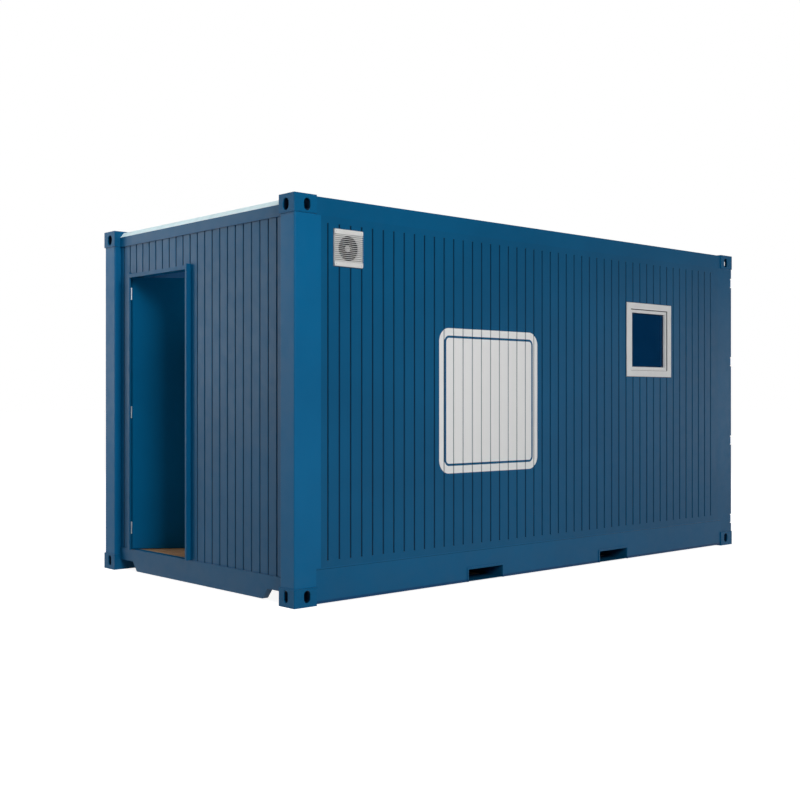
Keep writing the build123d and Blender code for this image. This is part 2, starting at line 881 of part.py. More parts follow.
def fan_duct():
    """The duct through the wall, with the motor on its struts."""
    outer = duct_radius + duct_wall_thickness
    duct = along_v(outer, vent_from_end, vent_level, side_inset, wall_inner)
    duct -= along_v(duct_radius, vent_from_end, vent_level, side_inset, wall_inner)
    motor_front = side_inset + hub_setback + hub_depth + motor_gap
    motor_back = motor_front + motor_depth
    duct += along_v(motor_radius, vent_from_end, vent_level, motor_front, motor_back)
    for i in range(strut_count):
        strut = Rot(0, 360 / strut_count * (i + 0.5), 0) * (
            Pos((duct_radius + motor_radius) / 2, 0, 0)
            * Box(duct_radius - motor_radius + duct_wall_thickness, motor_depth / 2, strut_width))
        duct += point(vent_from_end, (motor_front + motor_back) / 2, vent_level) * strut
    duct -= along_v(shaft_radius + pin_clearance, vent_from_end, vent_level, motor_front,
                    motor_front + shaft_length)
    return duct


def fan_rotor():
    """A hub with lofted blades, and the shaft that runs in the motor."""
    front = side_inset + hub_setback
    back = front + hub_depth
    hub = Pos(0, hub_depth, 0) * extrude(Plane.XZ * Circle(hub_radius), hub_depth)
    hub = fillet(hub.edges().group_by(Axis.Y)[0], hub_edge_radius)
    rotor = hub
    for i in range(blade_count):
        root = Plane(origin=(blade_root_radius, hub_depth / 2, 0), x_dir=(0, 1, 0), z_dir=(1, 0, 0))
        tip = Plane(origin=(blade_tip_radius, hub_depth / 2, 0), x_dir=(0, 1, 0), z_dir=(1, 0, 0))
        blade = loft([
            root * Rot(0, 0, blade_pitch_root) * Rectangle(blade_thickness, blade_width_root),
            tip * Rot(0, 0, 90 - blade_pitch_tip) * Rectangle(blade_thickness, blade_width_tip),
        ])
        rotor += Rot(0, 360 / blade_count * i, 0) * blade
    rotor = point(vent_from_end, front, vent_level) * rotor
    return rotor + along_v(shaft_radius, vent_from_end, vent_level, back,
                           back + motor_gap + shaft_length - shaft_end_gap)


def cargo_leaf():
    """One leaf of the far doors: a frame round a panel with cross ribs, built on the near side."""
    start = post_edge + cargo_gasket_thickness
    end = width / 2 - cargo_gasket_thickness / 2
    bottom = floor_top + cargo_gasket_thickness
    top = end_rail_bottom - cargo_gasket_thickness
    panel_face = cargo_leaf_inset + cargo_panel_recess
    panel_start = start + cargo_leaf_frame_width
    panel_end = end - cargo_leaf_frame_width
    panel_bottom = bottom + cargo_leaf_frame_width
    panel_top = top - cargo_leaf_frame_width
    leaf = block(cargo_leaf_inset, cargo_leaf_inner, start, end, bottom, top)
    leaf -= block(cargo_leaf_inset, panel_face, panel_start, panel_end, panel_bottom, panel_top)
    pitch = (panel_top - panel_bottom) / (cargo_rib_count + 1)
    for i in range(1, cargo_rib_count + 1):
        z = panel_bottom + i * pitch
        leaf += block(cargo_leaf_inset, panel_face, panel_start, panel_end,
                      z - cargo_rib_width / 2, z + cargo_rib_width / 2)
    return leaf


def cargo_door_window_side():
    return along(cargo_leaf())


def cargo_door_plain_side():
    return across(along(cargo_leaf()))


def cargo_door_gasket():
    """The seal round both leaves and between them."""
    start = post_edge
    bottom = floor_top
    top = end_rail_bottom
    seal = block(cargo_leaf_inset + cargo_gasket_recess, cargo_leaf_inner - cargo_gasket_recess,
                 start, width - start, bottom, top)
    leaf_start = start + cargo_gasket_thickness
    leaf_end = width / 2 - cargo_gasket_thickness / 2
    for low, high in ((leaf_start, leaf_end), (width - leaf_end, width - leaf_start)):
        seal -= block(cargo_leaf_inset, cargo_leaf_inner, low, high, bottom + cargo_gasket_thickness,
                      top - cargo_gasket_thickness)
    return along(seal)


def cargo_door_hinges():
    """Hinge blades bent from the knuckles on the posts down to the leaves."""
    hinges = []
    centre = cargo_post_inset - cargo_knuckle_radius
    post_blade = cargo_post_inset - cargo_blade_thickness
    leaf_blade = cargo_leaf_inset - cargo_blade_thickness
    leaf_start = post_edge + cargo_gasket_thickness
    bend = leaf_start + cargo_blade_thickness
    plan = [
        (post_blade, cargo_knuckle_from_side),
        (post_blade, bend),
        (leaf_blade, bend + cargo_blade_slant),
        (leaf_blade, leaf_start + cargo_blade_reach),
        (cargo_leaf_inset, leaf_start + cargo_blade_reach),
        (cargo_leaf_inset, leaf_start),
        (cargo_post_inset, post_edge),
        (cargo_post_inset, cargo_knuckle_from_side),
    ]
    for level in cargo_hinge_levels():
        z0 = level - cargo_hinge_height / 2
        blade = upright(plan, z0, z0 + cargo_hinge_height)
        blade += point(centre, cargo_knuckle_from_side, z0) * extrude(
            Circle(cargo_knuckle_radius), cargo_hinge_height)
        hinges += [along(blade), across(along(blade))]
    return hinges


def rod_places():
    """Where the lock rods stand, from the near side."""
    start = post_edge + cargo_gasket_thickness
    near = [start + offset for offset in lock_rod_offsets]
    return near + [width - v for v in near]


def cargo_lock_rods():
    """Four lock rods with the cams that hold them in the header and the sill."""
    rods = []
    low = floor_top - lock_cam_height
    high = end_rail_bottom + lock_cam_height / 2
    for v in rod_places():
        rod = point(lock_rod_inset, v, low) * extrude(Circle(lock_rod_radius), high - low)
        for z in (low, high - lock_cam_height):
            rod += block(lock_rod_inset, end_rail_inset, v - lock_rod_radius,
                         v + lock_rod_radius * 2, z, z + lock_cam_height)
        rods.append(along(rod))
    return rods


def lock_guide_levels():
    low = floor_top + lock_guide_from_floor
    high = end_rail_bottom - lock_guide_from_head
    return levels(low, high, lock_guide_count)


def cargo_lock_guides():
    """Bearing brackets that hold the rods to the leaves."""
    guides = []
    for v in rod_places():
        for level in lock_guide_levels():
            guide = block(lock_rod_inset - lock_rod_radius - lock_guide_wall_thickness, cargo_leaf_inset,
                          v - lock_guide_width / 2, v + lock_guide_width / 2,
                          level - lock_guide_height / 2, level + lock_guide_height / 2)
            guide = fillet(guide.edges().filter_by(Axis.Z).group_by(Axis.X)[0], lock_guide_edge_radius)
            guide -= point(lock_rod_inset, v, level - lock_guide_height) * extrude(
                Circle(lock_rod_radius + lock_rod_clearance), lock_guide_height * 2)
            guides.append(along(guide))
    return guides


def cargo_lock_handles():
    """A flat handle welded to each rod above its second guide, lying along its leaf."""
    handles = []
    start = post_edge + cargo_gasket_thickness
    outer_v = start + lock_rod_offsets[0]
    inner_v = start + lock_rod_offsets[1]
    handle_middle = lock_guide_levels()[1] + lock_handle_above_guide
    z0 = handle_middle - lock_handle_height / 2
    z1 = handle_middle + lock_handle_height / 2
    low = lock_rod_inset - lock_rod_radius - lock_handle_thickness
    for v, way, lift in ((outer_v, 1, 0), (inner_v, -1, -lock_handle_drop)):
        reach = v + way * lock_handle_length
        handle = block(low, low + lock_handle_thickness, min(v, reach), max(v, reach),
                       z0 + lift, z1 + lift)
        handle += block(low, lock_rod_inset - lock_rod_radius + lock_collar_sink,
                        v - lock_rod_radius, v + lock_rod_radius,
                        z0 + lift - lock_collar_margin, z1 + lift + lock_collar_margin)
        handle -= point(lock_rod_inset, v, z0 + lift - lock_collar_margin) * extrude(
            Circle(lock_rod_radius + lock_rod_clearance), lock_handle_height + 2 * lock_collar_margin)
        handles += [along(handle), across(along(handle))]
    return handles


PIECES = {
    "corner_castings_bottom": corner_castings_bottom,
    "corner_castings_top": corner_castings_top,
    "door_end_posts": door_end_posts,
    "cargo_end_posts": cargo_end_posts,
    "top_side_rails": top_side_rails,
    "bottom_side_rails": bottom_side_rails,
    "door_end_top_rail": top_end_rail,
    "cargo_end_header": lambda: along(top_end_rail()),
    "door_end_bottom_rail": door_end_bottom_rail,
    "cargo_end_sill": cargo_end_sill,
    "floor_cross_members": floor_cross_members,
    "fork_pockets": fork_pockets,
    "floor_deck": floor_deck,
    "door_nosing": door_nosing,
    "roof_sheet": roof_sheet,
    "roof_end_flashings": roof_end_flashings,
    "roof_bows": roof_bows,
    "ceiling_panel": ceiling_panel,
    "window_side_sheet": window_side_sheet,
    "window_side_wall": window_side_wall,
    "plain_side_sheet": plain_side_sheet,
    "plain_side_wall": plain_side_wall,
    "door_end_sheet": door_end_sheet,
    "door_end_wall_latch_side": door_end_wall_latch_side,
    "door_end_wall_over_door": door_end_wall_over_door,
    "door_end_wall_hinge_side": door_end_wall_hinge_side,
    "door_frame_jambs": door_frame_jambs,
    "door_frame_head": door_frame_head,
    "door_frame_hinges": door_frame_hinges,
    "door_leaf": door_leaf,
    "door_leaf_hinges": door_leaf_hinges,
    "door_handles": door_handles,
    "window_frame": window_frame,
    "window_sash": window_sash,
    "window_glass": window_glass,
    "vent_grille": vent_grille,
    "fan_duct": fan_duct,
    "fan_rotor": fan_rotor,
    "cargo_door_window_side": cargo_door_window_side,
    "cargo_door_plain_side": cargo_door_plain_side,
    "cargo_door_gasket": cargo_door_gasket,
    "cargo_door_hinges": cargo_door_hinges,
    "cargo_lock_rods": cargo_lock_rods,
    "cargo_lock_guides": cargo_lock_guides,
    "cargo_lock_handles": cargo_lock_handles,
}


def main():
    os.makedirs("parts", exist_ok=True)
    for name, make in PIECES.items():
        piece = make()
        solids = piece if isinstance(piece, list) else [piece]
        shapes = [solid for item in solids for solid in item.solids()]
        whole = Compound(label=name, children=shapes) if len(shapes) > 1 else shapes[0]
        export_step(whole, f"parts/{name}.step")


main()
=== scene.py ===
"""Looks of the shipping container cabin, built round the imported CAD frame.

Places are given as in the CAD source, in millimetres from the near corner of the door
end: u along the length, v along the width and z up.  at() turns them into metres, which
the shaders work in.
"""
import math

import bmesh
import bpy
from mathutils import Matrix, Vector


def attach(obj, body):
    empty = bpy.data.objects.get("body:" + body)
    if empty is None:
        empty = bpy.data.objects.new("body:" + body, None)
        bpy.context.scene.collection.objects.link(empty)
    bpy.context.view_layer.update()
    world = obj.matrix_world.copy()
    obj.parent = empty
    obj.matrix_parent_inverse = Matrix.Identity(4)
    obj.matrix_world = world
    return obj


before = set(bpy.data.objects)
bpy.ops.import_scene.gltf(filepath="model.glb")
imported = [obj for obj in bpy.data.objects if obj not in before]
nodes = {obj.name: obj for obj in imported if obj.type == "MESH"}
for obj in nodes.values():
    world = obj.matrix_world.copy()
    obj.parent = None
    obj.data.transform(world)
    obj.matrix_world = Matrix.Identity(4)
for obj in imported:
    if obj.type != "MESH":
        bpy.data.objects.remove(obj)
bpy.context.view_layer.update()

MM = 0.001

# Overall size, and the planes that the added pieces sit on
LENGTH = 4920
WIDTH = 2438
HEIGHT = 2591
CASTING = (178, 162, 118)
SIDE_FACE = 7
DOOR_POST_FACE = 7
CARGO_POST_FACE = 20
POST_EDGE = 156
BOTTOM_RAIL_TOP = 235
END_SHEET = 58
WALL_INNER = 105
END_WALL_INNER = 156
FLOOR_TOP = 170
CEILING_BOTTOM = 2397

# The personnel door: its axis, how far it stands open, its closed leaf and its frame
HINGE_U = 46
HINGE_V = 2100
HINGE_LEVELS = (334, 1206, 2100)
LEAF_OPEN = 56
LEAF_LATCH_EDGE = 1298
LEAF_HINGE_EDGE = 2083
LEAF_OUTER = 46
LEAF_INNER = 90
LEAF_BOTTOM = 175
DOOR_LATCH_EDGE = 1305
DOOR_HINGE_EDGE = 2086
DOOR_CLEAR_TOP = 2219
FRAME_BACK = 41
LATCH_JAMB_FACE = 1290
HANDLE_V = 1358
HANDLE_LEVEL = 1050

# The window and the fan vent in the long side
WINDOW_U = (3372, 3983)
WINDOW_Z = (1491, 2095)
WINDOW_FRONT = SIDE_FACE - 8
WINDOW_FLANGE = 50
SASH_WIDTH = 30
SASH_FRONT = WINDOW_FRONT + 10
SASH_SHADE_STRIP = 6
GLASS_FRONT = WINDOW_FRONT + 30
FAN_U = 436.5
FAN_Z = 2274
VENT_HALF = 119
VENT_U = (FAN_U - VENT_HALF, FAN_U + VENT_HALF)
VENT_Z = (FAN_Z - VENT_HALF, FAN_Z + VENT_HALF)
VENT_FRONT = SIDE_FACE - 14
VENT_SCREW_IN = 14

# The cargo doors
CARGO_LEAF_EDGE = POST_EDGE + 4
CARGO_LEAF_OUTER = 52
CARGO_LEAF_INNER = 102
CARGO_HINGE_LEVELS = (231, 937, 1643, 2349)
CARGO_BLADE = 8
CARGO_BLADE_BOLT = 52
LOCK_ROD_OFFSETS = (200, 620)
LOCK_ROD_INSET = 34
LOCK_GUIDE_REACH = 19
LOCK_GUIDE_LEVELS = (330, 970, 1610, 2250)

# The lining's boards and strips, and the floor's screws along u and v
LINING_BOARD = 1190
STRIP_THICK = 4
STRIP_HALF = 20
SKIRTING = 60
FLOOR_SCREW_START = (330, 240)
FLOOR_SCREW_STEP = (610, 490)
FLOOR_SCREW_COUNT = (8, 5)

# The light painted field on the long side
FIELD_U = (1256, 2280)
FIELD_Z = (785, 1800)
FIELD_ROUND = 95
FIELD_BLUR = 0.6
FIELD_BORDER_IN = 60
FIELD_BORDER_HALF = 8
FIELD_BORDER_BLUR = 0.5

# Where a colour or a painted shade changes into another, each from one distance to the next
GROOVE_SHADE_DEPTH = (2.2, 4.8)
DUST_LEVEL = (0, 450)
FOOT_SHADE_LEVEL = (24, 34)
CASTING_SHADE_DEPTH = (4, 12)
PLY_JOINT_HALF = (1.2, 2.2)
SLOT_SHADE_DEPTH = (4.5, 9.5)
SLATS_HALF = (89.5, 90.5)
FAN_OPENING_RADIUS = (78, 81)
HUB_SHADE_RADIUS = (21, 25)
HUB_CAP_RADIUS = (21.5, 22.5)
END_SHADE_IN = (350, 900)
SIDE_SHADE_IN = (30, 300)

# The length of a floor board, and where its joints start, in metres
PLY_BOARD = 1.22
PLY_SHIFT = 10.21


def at(u, v, z):
    """A place in metres, in the row frame."""
    return Vector(((u - LENGTH / 2) * MM, (v - WIDTH / 2) * MM, z * MM))


def from_end(size, place, flip):
    """A place along the length or width, or the same distance in from the far end."""
    return size - place if flip else place


# Shapes

def add_block(mesh, low, high, soft=0.0):
    """A block between two (u, v, z) corners with its edges softened, in millimetres."""
    a, b = at(*low), at(*high)
    place = Matrix.Translation((a + b) / 2) @ Matrix.Diagonal((*(b - a), 1))
    made = bmesh.ops.create_cube(mesh, size=1.0, matrix=place)
    if soft:
        edges = list(dict.fromkeys(edge for vert in made["verts"] for edge in vert.link_edges))
        bmesh.ops.bevel(mesh, geom=edges, offset=soft * MM, offset_type="OFFSET",
                        affect="EDGES", segments=2, profile=0.5, material=-1)


def facing(direction):
    """The turn that points +Z along a direction."""
    return Vector(direction).to_track_quat("Z", "Y").to_matrix().to_4x4()


def add_screw(mesh, place, direction, radius, height, sides=12):
    """A pan-head screw with a sunk drive, its head standing on place.

    A piece adds its screws before its blocks, because screws that follow a bevel can
    have their faces in another order from run to run."""
    out = Vector(direction).normalized()
    middle = Matrix.Translation(at(*place) + out * height * MM / 2)
    made = bmesh.ops.create_cone(mesh, cap_ends=True, cap_tris=False, segments=sides,
                                 radius1=radius * MM, radius2=radius * 0.78 * MM,
                                 depth=height * MM, matrix=middle @ facing(direction))
    faces = [face for vert in made["verts"] for face in vert.link_faces]
    top = max(faces, key=lambda face: face.calc_center_median().dot(out))
    bmesh.ops.inset_region(mesh, faces=[top], thickness=radius * 0.4 * MM, depth=0.0)
    bmesh.ops.translate(mesh, verts=list(top.verts), vec=out * -height * 0.45 * MM)


def add_bead(mesh, start, end, radius):
    """A round bead of weld between two places, half sunk in what carries it."""
    a, b = at(*start), at(*end)
    turn = Matrix.Translation((a + b) / 2) @ facing(b - a)
    bmesh.ops.create_cone(mesh, cap_ends=True, cap_tris=False, segments=8,
                          radius1=radius * MM, radius2=radius * MM, depth=(b - a).length,
                          matrix=turn)


def add_surround(mesh, across, up, outer, inner, front, back, soft=0.0):
    """Four strips round what spans across along u and up along z, set in from its edge."""
    u0, u1 = across[0] + outer, across[1] - outer
    z0, z1 = up[0] + outer, up[1] - outer
    wide = inner - outer
    add_block(mesh, (u0, front, z0), (u1, back, z0 + wide), soft)
    add_block(mesh, (u0, front, z1 - wide), (u1, back, z1), soft)
    add_block(mesh, (u0, front, z0 + wide), (u0 + wide, back, z1 - wide), soft)
    add_block(mesh, (u1 - wide, front, z0 + wide), (u1, back, z1 - wide), soft)


def put_in_scene(name, data):
    """An object of the scene that shows a mesh, a lamp or a camera."""
    made = bpy.data.objects.new(name, data)
    bpy.context.scene.collection.objects.link(made)
    return made


def mesh_object(name, mesh, finish, smooth=False):
    """An object made of a bmesh, dressed in one material."""
    data = bpy.data.meshes.new(name)
    mesh.to_mesh(data)
    mesh.free()
    for polygon in data.polygons:
        polygon.use_smooth = smooth
    data.materials.append(finish)
    return put_in_scene(name, data)


def piece(name, build, finish, body="cabin", smooth=False):
    """Make an object from a function that fills a bmesh, dress it and let it ride.

    A piece of the door is built on the closed leaf and swings open with it."""
    mesh = bmesh.new()
    build(mesh)
    if body == "door":
        axis = at(HINGE_U, HINGE_V, 0)
        swing = Matrix.Translation(axis) @ Matrix.Rotation(math.radians(LEAF_OPEN), 4, "Z")
        bmesh.ops.transform(mesh, matrix=swing @ Matrix.Translation(-axis), verts=mesh.verts)
    made = mesh_object(name, mesh, finish, smooth)
    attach(made, body)


# Ways to add shader nodes

class Wire:
    """A shader socket's value, which Python's operators work on."""

    def __init__(self, wiring, socket):
        self.wiring = wiring
        self.socket = socket

    def __add__(self, other):
        return self.wiring.maths("ADD", self, other)

    def __radd__(self, other):
        return self.wiring.maths("ADD", other, self)

    def __sub__(self, other):
        return self.wiring.maths("SUBTRACT", self, other)

    def __rsub__(self, other):
        return self.wiring.maths("SUBTRACT", other, self)

    def __mul__(self, other):
        return self.wiring.maths("MULTIPLY", self, other)

    def __rmul__(self, other):
        return self.wiring.maths("MULTIPLY", other, self)

    def __abs__(self):
        return self.wiring.maths("ABSOLUTE", self)


class Wiring:
    """The shader nodes of a material or of the world, and short ways to add to them."""

    def __init__(self, owner):
        owner.use_nodes = True
        self.tree = owner.node_tree
        self.tree.nodes.clear()

    def plug(self, socket, value):
        """Link a wire to a socket, or set the socket to a number or a colour."""
        if isinstance(value, Wire):
            self.tree.links.new(value.socket, socket)
        elif socket.type == "RGBA":
            socket.default_value = (*value, 1.0)
        else:
            socket.default_value = value

    def node(self, kind, settings=None, inputs=(), output=0):
        """Add a node with its settings, feed its inputs and give the wire of one output."""
        made = self.tree.nodes.new(kind)
        for name, value in (settings or {}).items():
            if name == "stops":
                self.set_stops(made.color_ramp, value)
            else:
                setattr(made, name, value)
        pairs = inputs.items() if isinstance(inputs, dict) else enumerate(inputs)
        for key, value in pairs:
            self.plug(made.inputs[key], value)
        return Wire(self, made.outputs[output]) if made.outputs else None

    def set_stops(self, ramp, stops):
        while len(ramp.elements) < len(stops):
            ramp.elements.new(1.0)
        for element, (place, colour) in zip(ramp.elements, stops):
            element.position = place
            element.color = (*colour, 1.0)

    def maths(self, operation, *values):
        return self.node("ShaderNodeMath", {"operation": operation}, values)

    def larger(self, first, second):
        return self.maths("MAXIMUM", first, second)

    def smaller(self, first, second):
        return self.maths("MINIMUM", first, second)

    def length(self, across, up):
        """The length of a vector in the plane of the long side."""
        vector = self.node("ShaderNodeCombineXYZ", None, [across, 0.0, up])
        return self.node("ShaderNodeVectorMath", {"operation": "LENGTH"}, [vector],
                         output="Value")

    def ray(self, kind):
        """1 for rays of one kind, and 0 for any others."""
        return self.node("ShaderNodeLightPath", output="Is %s Ray" % kind)

    def place(self):
        """Object coordinates, in metres."""
        return self.node("ShaderNodeTexCoord", output="Object")

    def axes(self, letters="XYZ"):
        """The place's coordinates along the named axes."""
        where = self.place()
        return [self.node("ShaderNodeSeparateXYZ", None, [where], output=letter)
                for letter in letters]

    def stretched(self, scale):
        """The place, scaled by its own factor along each axis."""
        return self.node("ShaderNodeMapping", None, {"Vector": self.place(), "Scale": scale})

    def noise(self, scale, detail, rough, where=None):
        return self.node("ShaderNodeTexNoise", None,
                         {"Vector": where or self.place(), "Scale": scale, "Detail": detail,
                          "Roughness": rough})

    def ramp(self, value, low, high, bottom=0.0, top=1.0):
        """A smooth step of value from low to high, giving bottom to top."""
        return self.node("ShaderNodeMapRange", {"interpolation_type": "SMOOTHSTEP"},
                         {"Value": value, "From Min": low, "From Max": high,
                          "To Min": bottom, "To Max": top})

    def edge(self, distance, reach, bottom=0.0, top=1.0):
        """A ramp over a distance, with both ends of its reach in millimetres."""
        return self.ramp(distance, reach[0] * MM, reach[1] * MM, bottom, top)

    def blend(self, factor, first, second):
        """A mix of two colours: first where factor is 0, second where it is 1."""
        return self.node("ShaderNodeMix", {"data_type": "RGBA"},
                         {"Factor": factor, 6: first, 7: second}, output=2)


class Look(Wiring):
    """A material with one Principled shader."""

    def __init__(self, name, **fixed):
        self.material = bpy.data.materials.new(name)
        super().__init__(self.material)
        surface = self.node("ShaderNodeBsdfPrincipled")
        self.node("ShaderNodeOutputMaterial", None, {"Surface": surface})
        self.shader = surface.socket.node
        for socket, value in fixed.items():
            self.set(socket.replace("_", " "), value)

    def set(self, socket, value):
        self.plug(self.shader.inputs[socket], value)

    def bump(self, height, depth):
        """Relief from a height, where a height of 1 is depth millimetres."""
        self.set("Normal", self.node("ShaderNodeBump", None,
                                     {"Height": height, "Distance": depth * MM,
                                      "Strength": 1.0}))

    def coat(self, colour, grain, rough, depth, relief=None):
        """Set the colour, a roughness that follows the grain, and the grain's relief."""
        self.set("Base Color", colour)
        self.set("Roughness", self.ramp(grain, 0.3, 0.7, *rough))
        self.bump(relief or grain, depth)
        return self.material


# Colours, as linear red, green and blue
PAINT = (0.0008, 0.104, 0.242)
PAINT_DEEP = (0.0006, 0.091, 0.214)
PAINT_DUSTY = (0.030, 0.105, 0.190)
# Painted shade on the rails' lowest lip and in the grooves
PAINT_FOOT_SHADE = (0.0, 0.060, 0.170)
GROOVE_SHADE = (0.0004, 0.020, 0.050)
FIELD_WHITE = (0.965, 0.965, 0.96)
FIELD_DULL = (0.93, 0.94, 0.94)
# Painted shade in the grooves that cross the light field
FIELD_GROOVE_SHADE = (0.30, 0.33, 0.36)
CASTING_RUBBED = (0.10, 0.12, 0.14)
# Painted shade deep in the castings' apertures
CASTING_INSIDE_SHADE = (0.001, 0.018, 0.050)
LINING_BLUE = (0.004, 0.060, 0.155)
LINING_GRAIN = (0.003, 0.048, 0.128)
PLY_DARK = (0.24, 0.125, 0.058)
PLY_MIDDLE = (0.43, 0.240, 0.120)
PLY_LIGHT = (0.56, 0.34, 0.175)
PLY_PORES = (0.10, 0.055, 0.028)
PLY_JOINT = (0.025, 0.016, 0.010)
SPANGLE_DARK = (0.42, 0.45, 0.47)
SPANGLE_LIGHT = (0.60, 0.63, 0.65)
ZINC_DIRT = (0.20, 0.19, 0.18)
ZINC_PLATE = (0.66, 0.68, 0.70)
SATIN_METAL = (0.62, 0.63, 0.65)
WINDOW_WHITE = (0.90, 0.90, 0.895)
DUCT_BLACK = (0.014, 0.015, 0.017)
BAND_LIGHT = (0.80, 0.80, 0.785)
BAND_DUSTY = (0.68, 0.67, 0.65)
# The slat fronts: a lighter copy of the plastic as painted light, and their colour over the fan
SLAT_PAINTED_LIGHT = (0.97, 0.97, 0.955)
SLAT_OVER_FAN = (0.78, 0.78, 0.77)
# Painted shade behind the slat fronts, and near black over the fan
SLOT_SHADE = (0.58, 0.58, 0.575)
SLOT_SHADE_OVER_FAN = (0.07, 0.07, 0.075)
ROTOR_BLACK = (0.016, 0.017, 0.019)
ROTOR_GRAIN = (0.024, 0.025, 0.028)
HUB_CAP = (0.90, 0.90, 0.89)
# The roof's pale cyan: partly its coating, partly a painted reflection of light from behind
ROOF_PALE_AND_SHEEN = (0.74, 0.92, 0.96)
ROOF_MARKS = (0.64, 0.82, 0.87)
RUBBER_BLACK = (0.012, 0.013, 0.015)
SEALANT_GREY = (0.05, 0.07, 0.09)
# Painted shade of the room behind the glass
GLASS_ROOM_SHADE = (0.0, 0.042, 0.130)
GLASS_ROOM_SHADE_PATCH = (0.0, 0.047, 0.144)
FLOOR_GREY = (0.45, 0.45, 0.45)
WHITE = (1.0, 1.0, 1.0)


def toned(colour, tone):
    return tuple(part * tone for part in colour)


# Materials

def painted_field(look, x, z):
    """Masks of the rounded light field and of the thin line inside its edge."""
    centre = at(sum(FIELD_U) / 2, 0, sum(FIELD_Z) / 2)
    half_u = (FIELD_U[1] - FIELD_U[0]) / 2 - FIELD_ROUND
    half_z = (FIELD_Z[1] - FIELD_Z[0]) / 2 - FIELD_ROUND
    across = abs(x - centre.x) - half_u * MM
    up = abs(z - centre.z) - half_z * MM
    outside = look.length(look.larger(across, 0.0), look.larger(up, 0.0))
    distance = outside + look.smaller(look.larger(across, up), 0.0) - FIELD_ROUND * MM
    mask = look.edge(distance, (-FIELD_BLUR, FIELD_BLUR), 1.0, 0.0)
    line = abs(distance + FIELD_BORDER_IN * MM)
    reach = (FIELD_BORDER_HALF - FIELD_BORDER_BLUR, FIELD_BORDER_HALF + FIELD_BORDER_BLUR)
    return mask, look.edge(line, reach, 1.0, 0.0)


def blue_paint(name, groove=None, light_field=False, tone=1.0, gloss=0.12, foot_shade=False):
    """Satin paint on steel: slow shade changes, a fine orange peel and dust low down.

    groove is (axis, plane, way): the grooves pressed in behind that plane get painted
    shade, and way is the sign of the axis that leads into the cabin.  The flag after gloss
    paints shade on the lowest lip, in a darker and bluer colour."""
    look = Look(name, Specular_IOR_Level=gloss)
    fine = look.noise(260.0, 2.0, 0.6)
    clear, deep = toned(PAINT, tone), toned(PAINT_DEEP, tone)
    colour = look.blend(look.ramp(look.noise(0.9, 4.0, 0.55), 0.35, 0.7), clear, deep)
    colour = look.blend(look.ramp(fine, 0.35, 0.75, 0.0, 0.35), colour, deep)
    x, y, z = look.axes()
    dust = (look.edge(z, DUST_LEVEL, 0.16, 0.0)
            * look.ramp(look.noise(5.0, 5.0, 0.6), 0.35, 0.65))
    colour = look.blend(dust, colour, PAINT_DUSTY)
    # Painted shade on the lowest lip of the rail, darker and bluer
    if foot_shade:
        colour = look.blend(look.edge(z, FOOT_SHADE_LEVEL, 1.0, 0.0), colour, PAINT_FOOT_SHADE)
    rough = look.ramp(look.noise(14.0, 4.0, 0.6), 0.3, 0.7, 0.36, 0.46)
    # Painted shade in the grooves, darker the deeper they are pressed in
    if groove:
        axis, plane, way = groove
        sunk = look.edge((x, y, z)[axis] * way - plane * way, GROOVE_SHADE_DEPTH)
        colour = look.blend(sunk, colour, GROOVE_SHADE)
    if light_field:
        mask, border = painted_field(look, x, z)
        wear = look.ramp(look.noise(60.0, 5.0, 0.7), 0.66, 0.80, 0.0, 0.10)
        white = look.blend(look.ramp(fine, 0.3, 0.8, 0.0, 0.3), FIELD_WHITE, FIELD_DULL)
        # The grooves get painted shade inside the light field too
        white = look.blend(sunk, white, FIELD_GROOVE_SHADE)
        colour = look.blend(mask * (1.0 - border) * (1.0 - wear), colour, white)
        rough = rough + mask * 0.05
    look.set("Base Color", colour)
    look.set("Roughness", rough)
    look.bump(look.noise(420.0, 2.0, 0.5) + look.noise(70.0, 2.0, 0.5) * 1.5, 0.06)
    return look.material


def cast_paint():
    """The same paint, thicker, on the rough skin of cast steel, with painted shade deep in the
    apertures.
    """
    look = Look("paint_on_casting", Specular_IOR_Level=0.14)
    skin = look.noise(120.0, 4.0, 0.65)
    colour = look.blend(look.ramp(skin, 0.3, 0.75), toned(PAINT, 1.16), toned(PAINT_DEEP, 1.10))
    rubbed = look.ramp(look.noise(38.0, 6.0, 0.75), 0.72, 0.80, 0.0, 0.30)
    colour = look.blend(rubbed, colour, CASTING_RUBBED)
    x, y, z = look.axes()
    outer = (LENGTH / 2 * MM - abs(x), WIDTH / 2 * MM - abs(y),
             look.smaller(z, HEIGHT * MM - z))
    depths = [look.smaller(near, size * MM - near) for near, size in zip(outer, CASTING)]
    depth = look.smaller(look.smaller(depths[0], depths[1]), depths[2])
    # Surfaces deep in the apertures get painted shade
    colour = look.blend(look.edge(depth, CASTING_SHADE_DEPTH), colour, CASTING_INSIDE_SHADE)
    return look.coat(colour, skin, (0.36, 0.50), 0.30, skin + look.noise(500.0, 2.0, 0.5) * 0.3)


def lining():
    """Coated board inside, with a faint embossed grain."""
    look = Look("coated_lining", Specular_IOR_Level=0.12)
    grain = look.noise(900.0, 2.0, 0.5, look.stretched((1.0, 1.0, 0.35)))
    colour = look.blend(look.ramp(grain, 0.3, 0.7), LINING_BLUE, LINING_GRAIN)
    return look.coat(colour, grain, (0.42, 0.52), 0.2)


